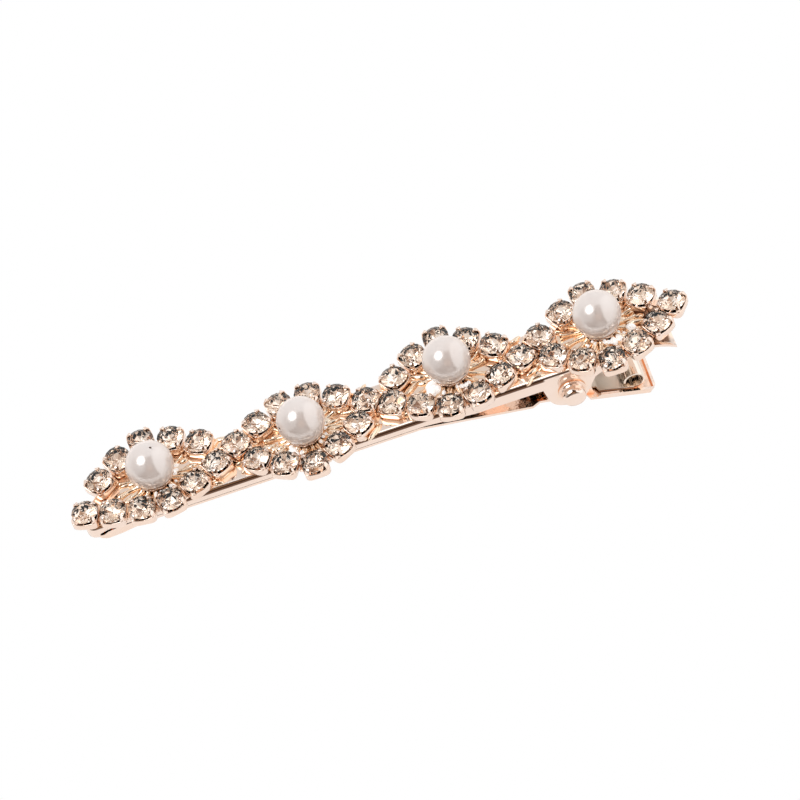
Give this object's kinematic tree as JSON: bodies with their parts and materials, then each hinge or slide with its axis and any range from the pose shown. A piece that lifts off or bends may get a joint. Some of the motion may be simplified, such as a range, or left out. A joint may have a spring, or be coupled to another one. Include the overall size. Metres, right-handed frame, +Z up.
{
  "type": "barrette",
  "caption": "Sprung duckbill hair clip in rose gold, topped by a woven wave of clear rhinestones that loops round a row of pearls.",
  "frame": {"origin": "middle of the jaw's flat underside, on the clip's middle line; the pivot pin's axis is 39 mm towards +X and 1.9 mm below", "axes": "+X along the clip from the jaw's tip to the thumb levers, +Y across the clip, +Z up from the jaw to the stones and pearls"},
  "size_m": [0.0796, 0.0155, 0.0162],
  "materials": {
    "rose_gold_arm": "polished rose-gold plating on pressed steel",
    "rose_gold_spring": "plated spring steel strip",
    "rose_gold_cup": "polished rose-gold plating on stamped brass",
    "pearl": "pearlescent coating on a plastic bead",
    "clear_stone": "clear cut glass, foiled at the back"
  },
  "bodies": {
    "upper": {"crossing_1_cups": "rose_gold_cup", "crossing_1_stones": "clear_stone", "crossing_2_cups": "rose_gold_cup", "crossing_2_stones": "clear_stone", "crossing_3_cups": "rose_gold_cup", "crossing_3_stones": "clear_stone", "front_tip_cups": "rose_gold_cup", "front_tip_stones": "clear_stone", "leaf_spring": "rose_gold_spring", "loop_1_arc_cups": "rose_gold_cup", "loop_1_arc_links": "rose_gold_cup", "loop_1_arc_stones": "clear_stone", "loop_1_wave_cups": "rose_gold_cup", "loop_1_wave_stones": "clear_stone", "loop_2_arc_cups": "rose_gold_cup", "loop_2_arc_links": "rose_gold_cup", "loop_2_arc_stones": "clear_stone", "loop_2_wave_cups": "rose_gold_cup", "loop_2_wave_stones": "clear_stone", "loop_3_arc_cups": "rose_gold_cup", "loop_3_arc_links": "rose_gold_cup", "loop_3_arc_stones": "clear_stone", "loop_3_wave_cups": "rose_gold_cup", "loop_3_wave_stones": "clear_stone", "loop_4_arc_cups": "rose_gold_cup", "loop_4_arc_links": "rose_gold_cup", "loop_4_arc_stones": "clear_stone", "loop_4_wave_cups": "rose_gold_cup", "loop_4_wave_stones": "clear_stone", "pearl_1": "pearl", "pearl_2": "pearl", "pearl_3": "pearl", "pearl_4": "pearl", "pearl_cup_1": "rose_gold_cup", "pearl_cup_2": "rose_gold_cup", "pearl_cup_3": "rose_gold_cup", "pearl_cup_4": "rose_gold_cup", "pivot_pin": "rose_gold_arm", "rear_tip_cups": "rose_gold_cup", "rear_tip_stones": "clear_stone", "upper_arm": "rose_gold_arm", "wave_links": "rose_gold_cup"},
    "lower": {"lower_arm": "rose_gold_arm"}
  },
  "joints": [
    {"name": "jaw_pivot", "type": "hinge", "parent": "upper", "child": "lower", "pos_m": [0.039, 0, -0.0019], "axis": [0, -1, 0], "range_deg": [0, 26], "stiffness_Nm_per_rad": 0.06, "springref_deg": -17.19, "deforming": ["leaf_spring"]}
  ]
}
